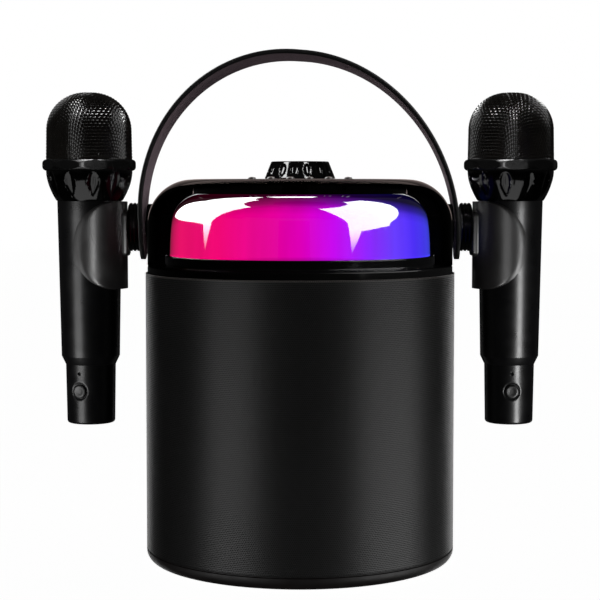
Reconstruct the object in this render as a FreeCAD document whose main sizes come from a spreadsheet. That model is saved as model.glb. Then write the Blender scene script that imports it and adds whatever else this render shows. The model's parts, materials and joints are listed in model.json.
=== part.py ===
import FreeCAD, Part
import math
import os
import re
import Sketcher

# A portable karaoke speaker: a round drum behind a mesh, a lamp under a smoked
# dome, a strap that swings over the top, and a wireless microphone in a clip on
# each side. Millimetres, +Z up, the front towards -Y. The origin is on the
# surface the feet stand on, below the middle of the drum.

doc = FreeCAD.newDocument("karaoke_speaker")
sheet = doc.addObject("Spreadsheet::Sheet", "Sizes")

SIZES = {
    # drum
    "drum_radius": 92.5,
    "mesh_wall": 1.0,
    "mesh_low": 9.1,
    "mesh_high": 173.2,
    "foot_rise": 1.0,
    "foot_radius": 9.0,
    "foot_recess": 1.2,
    "foot_circle": 66.0,
    "base_round": 6.5,
    "rim_width": 3.5,
    "shell": 2.5,
    "screw_circle": 79.0,
    "screw_radius": 1.5,
    "cabinet_radius": 88.5,
    "cabinet_wall": 3.0,
    "baffle_depth": 60.0,
    # woofer
    "woofer_height": 90.0,
    "woofer_radius": 52.0,
    "cone_radius": 33.0,
    "cap_radius": 12.0,
    "magnet_radius": 32.0,
    # port panel
    "port_height": 36.0,
    "port_width": 53.0,
    "port_tall": 22.0,
    "port_spread": 12.0,
    "port_face": 88.4,
    "jack_radius": 1.75,
    "jack_depth": 14.0,
    # lamp and dome
    "dome_radius": 91.2,
    "deck_high": 178.0,
    "dome_high": 228.8,
    "dome_round": 27.0,
    "dome_wall": 2.2,
    "lamp_radius": 77.8,
    "lamp_waist": 76.6,
    "lamp_low": 183.5,
    "lamp_high": 220.0,
    "lamp_round": 18.0,
    "lamp_wall": 2.0,
    "core_radius": 40.0,
    "led_circle": 62.0,
    # top panel
    "panel_radius": 64.0,
    "panel_wall": 3.8,
    "key_pitch": 11.0,
    "key_row": 46.0,
    "key_radius": 2.3,
    "key_depth": 5.4,
    "key_gap": 0.25,
    "key_proud": 1.3,
    "knob_radius": 21.0,
    "knob_top_radius": 17.1,
    "knob_low": 229.3,
    "knob_high": 239.5,
    "shaft_radius": 3.0,
    # strap and pivots
    "pivot_height": 200.4,
    "pin_radius": 4.0,
    "running": 0.05,
    "strap_reach": 95.2,
    "strap_rise": 104.5,
    "strap_wall": 2.8,
    "strap_width": 30.0,
    "strap_tab": 19.4,
    "strap_skew": 2.0,
    "strap_lean": 5.0,
    "hub_radius": 14.4,
    "hub_in": 95.6,
    "hub_out": 102.4,
    # microphone clip
    "mic_reach": 126.0,
    "clip_radius": 22.6,
    "clip_bore": 19.6,
    "trim_radius": 26.0,
    "trim_reach": 107.6,
    "trim_height": 189.7,
    # microphone
    "mic_top": 280.4,
    "basket_radius": 25.6,
    "basket_side": 25.3,
    "basket_shoulder": 258.0,
    "basket_round": 22.4,
    "basket_wall": 1.0,
    "ring_radius": 27.9,
    "ring_low": 234.0,
    "ring_high": 240.7,
    "ring_round": 1.6,
    "collar_radius": 25.4,
    "collar_low": 216.2,
    "tube_radius": 19.2,
    "tube_end_radius": 17.4,
    "tube_low": 123.3,
    "mic_wall": 1.8,
    "tail_high": 118.4,
    "tail_radius": 14.9,
    "tail_end_radius": 14.3,
    "tail_low": 82.6,
    "tail_round": 2.0,
    "button_radius": 4.2,
    "button_height": 102.8,
    "button_proud": 0.7,
}

for row, (alias, size) in enumerate(SIZES.items(), start=1):
    sheet.set(f"A{row}", alias)
    sheet.set(f"B{row}", str(size))
    sheet.setAlias(f"B{row}", alias)
doc.recompute()

KEYS = ["power", "mode", "previous", "play", "next", "light"]
LED_COUNT = 24
FLUTE_COUNT = 16
FLUTE_TURN = -77.1      # direction of the first flute, from +X
# how far each microphone is turned in its clip, seen from above
MIC_TURN = {"left": -21.5, "right": 0.0}

UP = FreeCAD.Vector(0, 0, 1)
ALONG_X = FreeCAD.Rotation(FreeCAD.Vector(0, 1, 0), 90)
ALONG_MINUS_X = FreeCAD.Rotation(FreeCAD.Vector(0, 1, 0), -90)
TO_FRONT = FreeCAD.Rotation(FreeCAD.Vector(1, 0, 0), 90)
TO_BACK = FreeCAD.Rotation(FreeCAD.Vector(1, 0, 0), -90)
UPRIGHT = FreeCAD.Rotation()

nodes = {}


def linked(text):
    """The expression with every alias in it written as a cell of the sheet."""
    return re.sub(r"[a-z]+(_[a-z]+)*",
                  lambda word: "Sizes." + word.group() if word.group() in SIZES else word.group(),
                  str(text))


def value(text):
    """What the expression comes to now."""
    return float(sheet.evalExpression(linked(text)))


def keep(name, thing):
    """Makes a finished sub-part one of the model's nodes."""
    thing.Label = name
    nodes[name] = thing
    return thing


def place(thing, base, rotation=UPRIGHT):
    """Puts an object at a point given by three expressions."""
    thing.Placement = FreeCAD.Placement(FreeCAD.Vector(*map(value, base)), rotation)
    for axis, text in zip("xyz", base):
        thing.setExpression("Placement.Base." + axis, linked(text))
    return thing


def cylinder(radius, height, base=(0, 0, 0), rotation=UPRIGHT):
    thing = doc.addObject("Part::Cylinder", "cylinder")
    thing.setExpression("Radius", linked(radius))
    thing.setExpression("Height", linked(height))
    return place(thing, base, rotation)


def box(length, width, height, middle):
    """A box whose middle is at a point given by three expressions."""
    thing = doc.addObject("Part::Box", "box")
    sides = (length, width, height)
    for name, side in zip(("Length", "Width", "Height"), sides):
        thing.setExpression(name, linked(side))
    return place(thing, [f"{at} - ({side}) / 2" for at, side in zip(middle, sides)])


def sphere(radius, base):
    thing = doc.addObject("Part::Sphere", "sphere")
    thing.setExpression("Radius", linked(radius))
    return place(thing, base)


def joined(kind, name, things):
    thing = doc.addObject(kind, name)
    if kind == "Part::Compound":
        thing.Links = things
    else:
        thing.Shapes = things
    return thing


def fuse(*things):
    return joined("Part::MultiFuse", "fusion", list(things))


def common(*things):
    return joined("Part::MultiCommon", "overlap", list(things))


def group(*things):
    """Separate solids that count as one sub-part."""
    return joined("Part::Compound", "group", list(things))


def cut(base, *tools):
    thing = doc.addObject("Part::Cut", "cut")
    thing.Base = base
    thing.Tool = tools[0] if len(tools) == 1 else fuse(*tools)
    return thing


def origin_plane(body, role):
    return next(item for item in body.Origin.OriginFeatures if item.Role == role)


def draw_outline(sketch, outline):
    """Draws a closed outline. A point is (across, up), or (across, up, radius,
    side) where the stretch that follows it is an arc bulging to that side:
    1 to the left of the way it is drawn, -1 to the right."""
    count = len(outline)
    points = [FreeCAD.Vector(value(point[0]), value(point[1]), 0) for point in outline]
    starts = []
    ends = []
    for index, point in enumerate(outline):
        first = points[index]
        last = points[(index + 1) % count]
        if len(point) == 2:
            edge = sketch.addGeometry(Part.LineSegment(first, last), False)
            starts.append((edge, 1))
            ends.append((edge, 2))
            continue
        radius = value(point[2])
        chord = last - first
        side = point[3]
        inward = UP.cross(chord).normalize() * -side
        centre = (first + last) * 0.5 + inward * math.sqrt(radius ** 2 - chord.Length ** 2 / 4)
        # a sketch's arc always runs anticlockwise, with its bulge on the right
        opening, closing = (first, last) if side < 0 else (last, first)
        angles = [math.atan2(end.y - centre.y, end.x - centre.x) for end in (opening, closing)]
        edge = sketch.addGeometry(Part.ArcOfCircle(Part.Circle(centre, UP, radius), *angles), False)
        starts.append((edge, 1 if side < 0 else 2))
        ends.append((edge, 2 if side < 0 else 1))
        bound(sketch, ("Radius", edge, radius), point[2])
    for index, point in enumerate(outline):
        sketch.addConstraint(Sketcher.Constraint("Coincident", *ends[index - 1], *starts[index]))
        for kind, axis, text in (("DistanceX", -2, point[0]), ("DistanceY", -1, point[1])):
            if text == 0:
                sketch.addConstraint(Sketcher.Constraint("PointOnObject", *starts[index], axis))
            else:
                bound(sketch, (kind, *starts[index], value(text)), text)


def bound(sketch, constraint, text):
    """Adds a sized constraint and ties it to its expression."""
    index = sketch.addConstraint(Sketcher.Constraint(*constraint))
    sketch.setExpression(f"Constraints[{index}]", linked(text))


def turned(outline, base=(0, 0, 0), rotation=UPRIGHT):
    """A body turned about its own Z axis from an outline of (radius, height)."""
    body = doc.addObject("PartDesign::Body", "body")
    sketch = body.newObject("Sketcher::SketchObject", "outline")
    sketch.AttachmentSupport = (origin_plane(body, "XZ_Plane"), [""])
    sketch.MapMode = "FlatFace"
    draw_outline(sketch, outline)
    turn = body.newObject("PartDesign::Revolution", "turn")
    turn.Profile = sketch
    turn.ReferenceAxis = (sketch, ["V_Axis"])
    turn.Angle = 360
    return place(body, base, rotation)


def around(count, radius, start=0.0):
    """Places spaced evenly on a circle about the Z axis, as (x, y, degrees)."""
    for index in range(count):
        degrees = start + index * 360.0 / count
        turn = math.radians(degrees)
        yield f"{radius} * {math.cos(turn):.6f}", f"{radius} * {math.sin(turn):.6f}", degrees


# ---------------------------------------------------------------- the drum

FLOOR = "foot_rise + shell"


def make_base():
    tray = turned([
        (0, "foot_rise"),
        ("drum_radius - base_round", "foot_rise", "base_round", -1),
        ("drum_radius", "foot_rise + base_round"),
        ("drum_radius", "mesh_low"),
        ("drum_radius - rim_width", "mesh_low"),
        ("drum_radius - rim_width", FLOOR),
        (0, FLOOR),
    ])
    recesses = [cylinder("foot_radius + 0.1", "foot_rise + foot_recess", (x, y, 0))
                for x, y, _ in around(4, "foot_circle")]
    counterbores = [cylinder("3.4", "foot_rise + 1.5", (x, y, 0))
                    for x, y, _ in around(4, "screw_circle", 45)]
    holes = [cylinder("screw_radius + 0.2", "mesh_low", (x, y, 0))
             for x, y, _ in around(4, "screw_circle", 45)]
    keep("base_tray", cut(tray, *recesses, *counterbores, *holes))
    feet = [cylinder("foot_radius", "foot_rise + foot_recess", (x, y, 0))
            for x, y, _ in around(4, "foot_circle")]
    keep("rubber_feet", group(*feet))
    screws = []
    for x, y, _ in around(4, "screw_circle", 45):
        head = cylinder("3.2", "1.2", (x, y, "foot_rise + 0.3"))
        shank = cylinder("screw_radius", "12", (x, y, "foot_rise + 1.5"))
        screws.append(fuse(head, shank))
    keep("base_screws", group(*screws))


def make_cabinet():
    """A tub with a flat front for the woofer and a closed top."""
    top = "deck_high - shell"
    outside = common(
        cylinder("cabinet_radius", f"{top} - ({FLOOR})", (0, 0, FLOOR)),
        box("300", "cabinet_radius + baffle_depth", "400",
            (0, "(cabinet_radius - baffle_depth) / 2", 100)))
    inside = common(
        cylinder("cabinet_radius - cabinet_wall", f"{top} - cabinet_wall - ({FLOOR})", (0, 0, FLOOR)),
        box("300", "cabinet_radius + baffle_depth - cabinet_wall", "400",
            (0, "(cabinet_radius - baffle_depth + cabinet_wall) / 2", 100)))
    posts = [cylinder("7", "18", (x, y, FLOOR)) for x, y, _ in around(4, "screw_circle", 45)]
    pilots = [cylinder("screw_radius", "14", (x, y, "foot_rise")) for x, y, _ in around(4, "screw_circle", 45)]
    mouth = cylinder("woofer_radius - 6", "20", (0, "10 - baffle_depth", "woofer_height"), TO_FRONT)
    window = box("port_width - 0.6", "20", "port_tall - 0.6", (0, "cabinet_radius", "port_height"))
    bulk = fuse(cut(outside, inside), common(outside, fuse(*posts)))
    keep("cabinet", cut(bulk, mouth, window, *pilots))


def make_grille():
    tube = cut(cylinder("drum_radius", "mesh_high - mesh_low", (0, 0, "mesh_low")),
               cylinder("drum_radius - mesh_wall", "mesh_high", (0, 0, 0)))
    window = box("port_width", "20", "port_tall", (0, "drum_radius", "port_height"))
    keep("grille", cut(tube, window))


def make_woofer():
    """The driver's own Z axis points out of the flat front of the cabinet."""
    seat = (0, "-baffle_depth", "woofer_height")
    keep("woofer_basket", turned([
        ("woofer_radius", 0),
        ("woofer_radius", 3),
        ("woofer_radius - 10", 3),
        ("magnet_radius - 4", -26),
        (16, -26),
        (16, -28),
        ("magnet_radius - 2", -28),
        ("woofer_radius - 7.6", 0),
    ], seat, TO_FRONT))
    keep("woofer_magnet", cut(
        cylinder("magnet_radius", 18, (0, "46 - baffle_depth", "woofer_height"), TO_FRONT),
        cylinder("cap_radius + 0.4", 60, (0, "42 - baffle_depth", "woofer_height"), TO_FRONT)))
    keep("woofer_surround", turned([
        ("woofer_radius - 9", 3, 5.2, -1),
        ("cone_radius + 0.3", 3),
        ("cone_radius + 1.2", 3, 4.4, 1),
        ("woofer_radius - 9.9", 3),
    ], seat, TO_FRONT))
    keep("woofer_cone", turned([
        ("cone_radius", 3),
        ("cone_radius", 4.2),
        ("cap_radius - 0.8", -10.8),
        ("cap_radius - 0.8", -32),
        ("cap_radius", -32),
        ("cap_radius", -12),
    ], seat, TO_FRONT))
    keep("dust_cap", turned([
        (0, -9.3),
        ("cap_radius + 0.6", -9.3, 18, -1),
        (2, -5.2),
        (0, -5.2),
    ], seat, TO_FRONT))


def usb_socket(base, rotation):
    """A charging socket that opens along its own +Z axis, its mouth at base."""
    length = 7.3
    shell = box(8.94, 3.26, length, (0, 0, -length / 2))
    hollow = box(8.34, 2.66, 6.5, (0, 0, -6.5 / 2))
    tongue = box(6.7, 0.7, 6.2, (0, 0, -3.9))
    return place(fuse(cut(shell, hollow), tongue), base, rotation)


def make_electronics():
    cells = [cylinder(9.2, 65, (-32.5, y, f"{FLOOR} + 9.4"), ALONG_X) for y in (18, 38)]
    keep("battery_cells", group(*cells))
    board = box(70, 1.6, 54, (0, 70.4, 48))
    chip = box(12, 1.4, 12, (0, 68.9, 52))
    amplifier = box(16, 2, 10, (20, 68.6, 34))
    coil = box(10, 5, 10, (-20, 67.1, 34))
    keep("main_board", fuse(board, chip, amplifier, coil))

    ring = cut(cylinder("drum_radius - 0.2", "port_tall - 0.6", (0, 0, "port_height - port_tall / 2 + 0.3")),
               cylinder("cabinet_radius - 2.5", "port_tall", (0, 0, "port_height - port_tall / 2")))
    panel = common(ring, box("port_width - 0.6", 60, "port_tall", (0, 70, "port_height")))
    recess = box("port_width - 8", 20, "port_tall - 7", (0, "port_face + 10", "port_height"))
    charge_hole = box(9.2, 20, 3.5, ("-port_spread", "port_face", "port_height"))
    jack_hole = cylinder(4.1, 20, ("port_spread", "port_face + 5", "port_height"), TO_FRONT)
    keep("port_panel", cut(panel, recess, charge_hole, jack_hole))
    keep("charge_socket", usb_socket(("-port_spread", "port_face", "port_height"), TO_BACK))
    barrel = cylinder(4, "jack_depth + 2", ("port_spread", "port_face", "port_height"), TO_FRONT)
    bore = cylinder("jack_radius", "jack_depth", ("port_spread", "port_face", "port_height"), TO_FRONT)
    keep("audio_socket", cut(barrel, bore))


# ------------------------------------------------------- the lamp and dome

def make_deck():
    """The gloss ring between the mesh and the dome, raised under the lamp."""
    low = "mesh_high - 5"
    under = "deck_high - shell"
    keep("light_deck", turned([
        ("dome_radius", low),
        ("dome_radius", "deck_high"),
        ("lamp_radius + 2.7", "deck_high"),
        ("lamp_radius + 2.7", "lamp_low"),
        (0, "lamp_low"),
        (0, "lamp_low - shell"),
        ("lamp_radius + 0.2", "lamp_low - shell"),
        ("lamp_radius + 0.2", under),
        ("cabinet_radius + 0.2", under),
        ("cabinet_radius + 0.2", low),
    ]))


def side_holes(radius):
    """One rod through both pivots."""
    return cylinder(radius, 240, (-120, 0, "pivot_height"), ALONG_X)


def make_lamp():
    core = cut(cylinder("core_radius", "dome_high - panel_wall - lamp_low", (0, 0, "lamp_low")),
               cylinder("core_radius - shell", 100, (0, 0, 150)))
    keep("lamp_core", cut(core, side_holes(8)))
    board = cut(cylinder("led_circle + 8", 1.6, (0, 0, "lamp_low")),
                cylinder("led_circle - 8", 1.6, (0, 0, "lamp_low")))
    keep("led_ring", board)
    leds = [box(5, 5, 1.6, (x, y, "lamp_low + 2.4")) for x, y, _ in around(LED_COUNT, "led_circle")]
    keep("leds", group(*leds))
    diffuser = turned([
        ("lamp_radius", "lamp_low"),
        ("lamp_waist", "lamp_high - lamp_round", "lamp_round", -1),
        ("lamp_waist - lamp_round", "lamp_high"),
        ("core_radius + 0.2", "lamp_high"),
        ("core_radius + 0.2", "lamp_high - lamp_wall"),
        ("lamp_waist - lamp_round", "lamp_high - lamp_wall", "lamp_round - lamp_wall", 1),
        ("lamp_waist - lamp_wall", "lamp_high - lamp_round"),
        ("lamp_radius - lamp_wall", "lamp_low"),
    ])
    keep("lamp_diffuser", cut(diffuser, side_holes(8.3)))
    cover = turned([
        ("dome_radius", "deck_high"),
        ("dome_radius", "dome_high - dome_round", "dome_round", -1),
        ("dome_radius - dome_round", "dome_high"),
        ("dome_radius - dome_round", "dome_high - dome_wall", "dome_round - dome_wall", 1),
        ("dome_radius - dome_wall", "dome_high - dome_round"),
        ("dome_radius - dome_wall", "deck_high"),
    ])
    keep("lamp_cover", cut(cover, side_holes("pin_radius + 0.3")))


def make_panel():
    """The top plate with its row of keys in front of the knob."""
    plate = cylinder("panel_radius", "panel_wall", (0, 0, "dome_high - panel_wall"))
    slots = []
    switches = []
    for index, name in enumerate(KEYS):
        x = f"key_pitch * {index - (len(KEYS) - 1) / 2}"
        bottom = (x, "-key_row", "dome_high + key_proud - key_depth")
        slots.append(cylinder("key_radius + key_gap", 10, bottom))
        switches.append(box(4, 4, 1.6, (x, "-key_row", "dome_high - 6")))
        keep(f"key_{name}", cylinder("key_radius", "key_depth", bottom))
    keep("control_panel", cut(plate, cylinder(4.7, 20, (0, 0, "dome_high - 10")), *slots))
    board = box("key_pitch * 6 + 4", 12, 1.6, (0, "-key_row", "dome_high - 7.6"))
    keep("key_board", fuse(board, *switches))


def make_knob():
    hollow = "knob_high - 2.2"
    knob = turned([
        (0, "knob_high"),
        ("knob_top_radius - 1", "knob_high", 1.2, -1),
        ("knob_top_radius + 0.3", "knob_high - 0.9"),
        ("knob_radius", "knob_low"),
        ("knob_radius - 2.4", "knob_low"),
        ("knob_top_radius - 1.8", hollow),
        (6, hollow),
        (6, "knob_low + 0.3"),
        ("shaft_radius", "knob_low + 0.3"),
        ("shaft_radius", "knob_high - 3.1"),
        (0, "knob_high - 3.1"),
    ])
    flutes = [sphere(5, (x, y, "(knob_low + knob_high) / 2"))
              for x, y, _ in around(FLUTE_COUNT, "(knob_radius + 2.1)", FLUTE_TURN)]
    keep("volume_knob", cut(knob, *flutes))
    shaft_low = "dome_high - 9.8"
    housing = fuse(box(13, 13, 6.6, (0, 0, "dome_high - 7.2")),
                   cylinder(4.4, 3, (0, 0, "dome_high - panel_wall - 0.4")))
    keep("encoder", cut(housing, cylinder("shaft_radius + running", 40, (0, 0, shaft_low))))
    keep("encoder_shaft", cylinder("shaft_radius", f"knob_high - 3.1 - ({shaft_low})", (0, 0, shaft_low)))


# ------------------------------------------------------ strap and pivots

def arch_curve(reach, rise, tab):
    """The strap's bend from its left end to its right end, as wires in the XZ
    plane. It leans a little to the left, as a strap carried by hand does."""
    skew = SIZES["strap_skew"]
    points = []
    steps = 16
    for step in range(steps + 1):
        turn = math.pi * step / steps
        pull = skew * math.sin(2 * turn)
        across = -(reach + pull) * math.cos(turn)
        up = (rise + pull) * math.sin(turn)
        points.append(FreeCAD.Vector(across, 0, up))
    bend = Part.BSplineCurve()
    bend.interpolate(Points=points, InitialTangent=UP, FinalTangent=-UP)
    left = Part.LineSegment(FreeCAD.Vector(-reach, 0, -tab), points[0])
    right = Part.LineSegment(points[-1], FreeCAD.Vector(reach, 0, -tab))
    return [left.toShape(), bend.toShape(), right.toShape()]


def make_strap():
    """A bent strap has no straight outline, so its curve is interpolated."""
    reach = SIZES["strap_reach"]
    wall = SIZES["strap_wall"]
    rise = SIZES["strap_rise"]
    tab = SIZES["strap_tab"]
    half = SIZES["strap_width"] / 2
    outer = arch_curve(reach, rise, tab)
    inner = arch_curve(reach - wall, rise - wall, tab)
    ends = []
    for side in (-1, 1):
        ends.append(Part.LineSegment(FreeCAD.Vector(side * reach, 0, -tab),
                                     FreeCAD.Vector(side * (reach - wall), 0, -tab)).toShape())
    band = Part.Face(Part.Wire(Part.__sortEdges__(outer + inner + ends)))
    band.translate(FreeCAD.Vector(0, -half, 0))
    solid = band.extrude(FreeCAD.Vector(0, 2 * half, 0))

    # the two ends are rounded about a point above their lower edge
    low = half - tab
    wide = 2 * reach
    rounded = Part.makeBox(2 * wide, 2 * half, rise + tab, FreeCAD.Vector(-wide, -half, low))
    rounded = rounded.fuse(Part.makeCylinder(half, 2 * wide, FreeCAD.Vector(-wide, 0, low),
                                             FreeCAD.Vector(1, 0, 0)))
    hole = Part.makeCylinder(SIZES["pin_radius"] + SIZES["running"], 2 * wide,
                             FreeCAD.Vector(-wide, 0, 0), FreeCAD.Vector(1, 0, 0))
    strap = doc.addObject("Part::Feature", "strap")
    strap.Shape = solid.common(rounded).cut(hole).removeSplitter()
    lean = FreeCAD.Rotation(FreeCAD.Vector(1, 0, 0), -SIZES["strap_lean"])
    keep("handle_strap", place(strap, (0, 0, "pivot_height"), lean))


SIDES = {"left": (-1, ALONG_MINUS_X), "right": (1, ALONG_X)}


def make_pivots():
    """A hoop over the lamp carries the dome. It has a stem at each end for the
    strap's pin, and it parts round the lamp's core."""
    sleeve = "dome_round - dome_wall - 0.3"
    under_dome = turned([
        (0, "deck_high + 0.05"),
        ("dome_radius - dome_wall - 0.3", "deck_high + 0.05"),
        ("dome_radius - dome_wall - 0.3", "dome_high - dome_round", sleeve, -1),
        ("dome_radius - dome_round", "dome_high - dome_wall - 0.3"),
        (0, "dome_high - dome_wall - 0.3"),
    ])
    over_lamp = turned([
        (0, "deck_high"),
        ("lamp_radius + 3", "deck_high"),
        ("lamp_radius + 3", "lamp_low + 0.1"),
        ("lamp_radius + 0.4", "lamp_low + 0.1"),
        ("lamp_waist + 0.4", "lamp_high - lamp_round", "lamp_round + 0.4", -1),
        ("lamp_waist - lamp_round", "lamp_high + 0.4"),
        (0, "lamp_high + 0.4"),
    ])
    panel_room = cylinder("dome_radius", 20, (0, 0, "dome_high - panel_wall - 0.2"))
    core_room = cylinder("core_radius + 0.2", 100, (0, 0, 150))
    pins = []
    washers = []
    for side, outward in SIDES.values():
        slab = box("dome_radius", 7, 100, (f"{side} * dome_radius / 2", 0, "pivot_height"))
        hoop = cut(common(under_dome, slab), over_lamp, panel_room, core_room)
        inner = (f"{side} * (core_radius - 4)", 0, "pivot_height")
        stem = cylinder(8, "dome_radius - dome_wall - core_radius + 3.2", inner, outward)
        pin = cylinder("pin_radius", "hub_out - 1.4 - core_radius + 4", inner, outward)
        pins.append(fuse(hoop, stem, pin))
        face = (f"{side} * (dome_radius + 0.05)", 0, "pivot_height")
        washers.append(cut(cylinder(7, 0.8, face, outward), cylinder("pin_radius", 0.8, face, outward)))
    keep("pivot_frame", group(*pins))
    keep("pivot_washers", group(*washers))


def make_holder(name):
    side, outward = SIDES[name]
    depth = "hub_out - hub_in"
    keep(f"holder_hub_{name}", turned([
        ("pin_radius + running", 0),
        ("hub_radius - 0.8", 0),
        ("hub_radius", 0.8),
        ("hub_radius", 2.6),
        ("hub_radius - 0.7", 2.8),
        ("hub_radius - 0.7", 3.4),
        ("hub_radius", 3.6),
        ("hub_radius", f"{depth} - 0.8"),
        ("hub_radius - 0.8", depth),
        (0, depth),
        (0, f"{depth} - 1.2"),
        ("pin_radius + running", f"{depth} - 1.2"),
    ], (f"{side} * hub_in", 0, "pivot_height"), outward))
    reach = f"{side} * mic_reach"
    low = "trim_height - trim_radius - 1"
    tall = "2 * trim_radius + 2"
    sleeve = cylinder("clip_radius", tall, (reach, 0, low))
    saddle = box(8, 22, 28, (f"{side} * (hub_out + 4)", 0, "pivot_height - 4"))
    trim = cylinder("trim_radius", 80, (f"{side} * trim_reach", 40, "trim_height"), TO_FRONT)
    bore = cylinder("clip_bore", 200, (reach, 0, 100))
    keep(f"mic_clip_{name}", cut(common(fuse(sleeve, saddle), trim), bore))


# ---------------------------------------------------------- microphones

def basket_shell(gap, wall, foot):
    """A thin skin that follows the basket, set in by the gap."""
    outer = f"({gap})"
    inner = f"({gap} + {wall})"
    flat = "basket_side - basket_round"
    return [
        (f"basket_radius - {outer}", foot),
        (f"basket_side - {outer}", "basket_shoulder", f"basket_round - {outer}", -1),
        (flat, f"mic_top - {outer}"),
        (0, f"mic_top - {outer}"),
        (0, f"mic_top - {inner}"),
        (flat, f"mic_top - {inner}", f"basket_round - {inner}", 1),
        (f"basket_side - {inner}", "basket_shoulder"),
        (f"basket_radius - {inner}", foot),
    ]


def make_mic_head(name, axis):
    keep(f"mic_grille_{name}", turned(basket_shell(0, "basket_wall", "ring_high"), axis))
    keep(f"mic_foam_{name}", turned(basket_shell("basket_wall + 0.1", 2.5, "ring_high - 0.6"), axis))
    keep(f"mic_ring_{name}", turned([
        ("ring_radius - ring_round", "ring_low", "ring_round", -1),
        ("ring_radius", "ring_low + ring_round"),
        ("ring_radius", "ring_high - ring_round", "ring_round", -1),
        ("ring_radius - ring_round", "ring_high"),
        ("basket_radius - basket_wall", "ring_high"),
        ("basket_radius - basket_wall", "ring_low"),
    ], axis))
    keep(f"mic_collar_{name}", turned([
        ("tube_radius + 0.4", "collar_low", 21, -1),
        ("collar_radius", "ring_low"),
        ("collar_radius - 1", "ring_low"),
        ("collar_radius - 1", "ring_high - 0.8"),
        (12.2, "ring_high - 0.8"),
        (12.2, "ring_high - 2.8"),
        ("collar_radius - 3", "ring_high - 2.8"),
        ("collar_radius - 3", "ring_low - 2", 21, 1),
        ("tube_radius - mic_wall", "collar_low"),
    ], axis))
    capsule_low = "ring_high - 6"
    keep(f"mic_capsule_{name}", cylinder(12, 18, (axis[0], 0, capsule_low)))


def make_mic_body(name, axis):
    keep(f"mic_body_{name}", turned([
        ("tube_radius", "collar_low"),
        ("tube_radius - mic_wall", "collar_low"),
        ("tube_end_radius - mic_wall", "tube_low"),
        ("tail_radius - mic_wall", "tail_high"),
        ("tail_radius", "tail_high"),
        ("tube_end_radius", "tube_low"),
    ], axis))
    floor = "tail_low + mic_wall"
    tail = turned([
        (0, "tail_low"),
        ("tail_end_radius - tail_round", "tail_low", "tail_round", -1),
        ("tail_end_radius", "tail_low + tail_round"),
        ("tail_radius", "tail_high"),
        ("tail_radius - mic_wall", "tail_high"),
        ("tail_end_radius - mic_wall", floor),
        (0, floor),
    ], axis)
    turn = math.radians(MIC_TURN[name])
    facing = FreeCAD.Rotation(UP, MIC_TURN[name]).multiply(TO_FRONT)

    def in_front(distance, height):
        """A point this far in front of the axis, the way the button faces."""
        return (f"{axis[0]} + ({distance}) * {math.sin(turn):.6f}",
                f"-({distance}) * {math.cos(turn):.6f}", height)

    inside = "tail_end_radius - mic_wall - 1.4"
    button_hole = cylinder("button_radius + 0.2", 12, in_front(8, "button_height"), facing)
    charge_hole = box(9.2, 3.5, 8, (axis[0], 0, "tail_low"))
    keep(f"mic_tail_{name}", cut(tail, button_hole, charge_hole))
    keep(f"mic_button_{name}",
         cylinder("button_radius", f"tail_end_radius + 0.3 + button_proud - ({inside})",
                  in_front(inside, "button_height"), facing))
    keep(f"mic_battery_{name}", cylinder(9, 65, (axis[0], 0, "tube_low + 25")))
    board = box(16, 1.2, 52, (axis[0], 4, "tail_low + 38"))
    socket = usb_socket((axis[0], 0, "tail_low + 0.4"), FreeCAD.Rotation(FreeCAD.Vector(1, 0, 0), 180))
    bridge = box(6, 3, 2, (axis[0], 2.6, "tail_low + 7"))
    post = box(6, 1.2, 7, (axis[0], 3.9, "tail_low + 9"))
    keep(f"mic_board_{name}", fuse(board, bridge, post, socket))


make_base()
make_cabinet()
make_grille()
make_woofer()
make_electronics()
make_deck()
make_lamp()
make_panel()
make_knob()
make_strap()
make_pivots()
for mic_name, (mic_side, _) in SIDES.items():
    make_holder(mic_name)
    mic_axis = (f"{mic_side} * mic_reach", 0, 0)
    make_mic_head(mic_name, mic_axis)
    make_mic_body(mic_name, mic_axis)

doc.recompute()

for item in doc.Objects:
    if "Invalid" in item.State or "Error" in item.State:
        raise RuntimeError(f"{item.Label} failed: {item.State}")
for node_name, item in nodes.items():
    if item.Shape.isNull() or not item.Shape.isValid() or not item.Shape.Solids:
        raise RuntimeError(f"{node_name} has no valid solid")

os.makedirs("parts", exist_ok=True)
for node_name, item in nodes.items():
    item.Shape.exportStep(f"parts/{node_name}.step")
    print(f"{node_name}: {len(item.Shape.Solids)} solid(s), {item.Shape.Volume / 1000:.2f} cm3")
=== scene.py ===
import json
from math import acos, ceil, cos, hypot, pi, radians, sin, sqrt, tan

import bmesh
import bpy
import numpy as np
from mathutils import Matrix, Vector

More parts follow.
